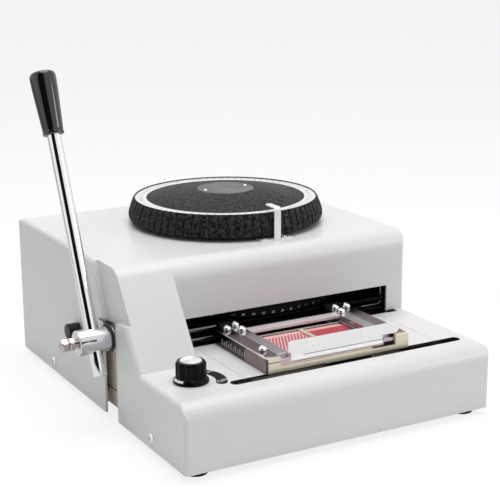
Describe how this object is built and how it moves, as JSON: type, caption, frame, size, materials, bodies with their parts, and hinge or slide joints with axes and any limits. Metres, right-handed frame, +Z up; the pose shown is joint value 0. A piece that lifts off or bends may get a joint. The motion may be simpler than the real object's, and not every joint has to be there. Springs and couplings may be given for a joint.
{
  "type": "plastic card embosser",
  "caption": "Bench machine that stamps raised characters into plastic cards: grey casing, hand wheel to pick a character, lever at the left, card carriage in front.",
  "frame": {"origin": "middle of the footprint, on the surface the feet stand on", "axes": "+X to the right seen from the front, +Y from the front to the back, +Z up"},
  "size_m": [0.3473, 0.37, 0.3016],
  "materials": {
    "paint": "light grey satin powder coat",
    "cast_frame": "machined grey iron, oiled",
    "rubber": "matt black rubber",
    "yellow_zinc": "yellow passivated zinc plate",
    "chrome": "bright chrome plate",
    "steel": "ground tool steel",
    "bronze": "sintered bronze",
    "black_steel": "blackened steel",
    "black_plastic": "fine grained black moulding",
    "dark_chrome": "dark bright plate with a warm tint",
    "satin_steel": "satin zinc plate",
    "white_paint": "white paint",
    "card_plastic": null
  },
  "bodies": {
    "root": {"casing": "paint", "deck_plate": "paint", "base_plate": "cast_frame", "rubber_feet": "rubber", "casing_screws": "chrome", "side_plate_left": "yellow_zinc", "side_plate_right": "yellow_zinc", "top_bridge": "cast_frame", "upper_bearing": "bronze", "lower_bearing": "bronze", "shaft_bush": "bronze", "shaft_bracket": "cast_frame", "guide_rods": "chrome", "rod_posts": "steel", "upper_arm_bracket": "cast_frame", "lower_arm_bracket": "cast_frame", "arm_pins": "chrome", "pointer": "chrome", "pointer_screws": "chrome", "knob_label": "black_plastic", "side_stop": "rubber", "return_spring": "black_steel", "spring_drum": "steel", "mouth_frame": "black_steel"},
    "wheel": {"dial_wheel": "black_plastic", "dial_ring": "chrome", "dial_badge": "black_plastic", "spindle": "chrome", "upper_type_wheel": "black_steel", "lower_type_wheel": "black_steel", "upper_type_pins": "chrome", "lower_type_pins": "chrome"},
    "lever": {"lever_rod": "chrome", "lever_grip": "black_plastic", "lever_hub": "chrome", "clamp_bolt": "chrome", "lock_nut": "chrome", "lever_shaft": "chrome", "spreader_cam": "steel"},
    "upper_arm": {"upper_arm": "steel"},
    "lower_arm": {"lower_arm": "steel"},
    "carriage": {"front_plate": "yellow_zinc", "front_bar": "dark_chrome", "left_bar": "dark_chrome", "right_bar": "dark_chrome", "left_arm": "satin_steel", "right_arm": "satin_steel", "cross_bar": "chrome", "slider_blocks": "steel", "carriage_screws": "chrome", "feed_rack": "steel"},
    "tray": {"card_tray": "dark_chrome", "tab_plate": "white_paint", "card_rail": "chrome", "card_clip": "yellow_zinc", "card": "card_plastic"},
    "knob": {"knob_body": "black_plastic", "knob_cap": "chrome", "knob_shaft": "steel"},
    "feed": {"feed_pinion": "bronze"}
  },
  "joints": [
    {"name": "wheel_spin", "type": "hinge", "parent": "root", "child": "wheel", "pos_m": [0.0448, 0.0704, 0.106], "axis": [0, 0, 1], "continuous": true},
    {"name": "lever_pull", "type": "hinge", "parent": "root", "child": "lever", "pos_m": [-0.1437, -0.0415, 0.0792], "axis": [1, 0, 0], "range_deg": [0, 70], "stiffness_Nm_per_rad": 0.5, "springref_deg": -17.19},
    {"name": "upper_arm_swing", "type": "hinge", "parent": "root", "child": "upper_arm", "pos_m": [-0.0287, -0.0346, 0.10065], "axis": [0, 1, 0], "range_deg": [0, 1.7]},
    {"name": "lower_arm_swing", "type": "hinge", "parent": "root", "child": "lower_arm", "pos_m": [-0.0287, -0.0346, 0.04405], "axis": [0, 1, 0], "range_deg": [-1.7, 0]},
    {"name": "carriage_slide", "type": "slide", "parent": "root", "child": "carriage", "axis": [1, 0, 0], "range_m": [-0.033, 0.052]},
    {"name": "tray_slide", "type": "slide", "parent": "carriage", "child": "tray", "axis": [0, 1, 0], "range_m": [0, 0.066]},
    {"name": "knob_turn", "type": "hinge", "parent": "root", "child": "knob", "pos_m": [-0.09695, -0.133, 0.066], "axis": [0, 0, 1], "range_deg": [0, 60]},
    {"name": "feed_turn", "type": "hinge", "parent": "root", "child": "feed", "pos_m": [0.0448, -0.13745, 0.049], "axis": [0, 0, 1], "range_deg": [-166, 260]}
  ],
  "couplings": [
    {"joint": "upper_arm_swing", "follows": "lever_pull", "ratio": 0.02407},
    {"joint": "lower_arm_swing", "follows": "lever_pull", "ratio": -0.02407},
    {"joint": "feed_turn", "follows": "carriage_slide", "rad_per_m": 86.545}
  ]
}
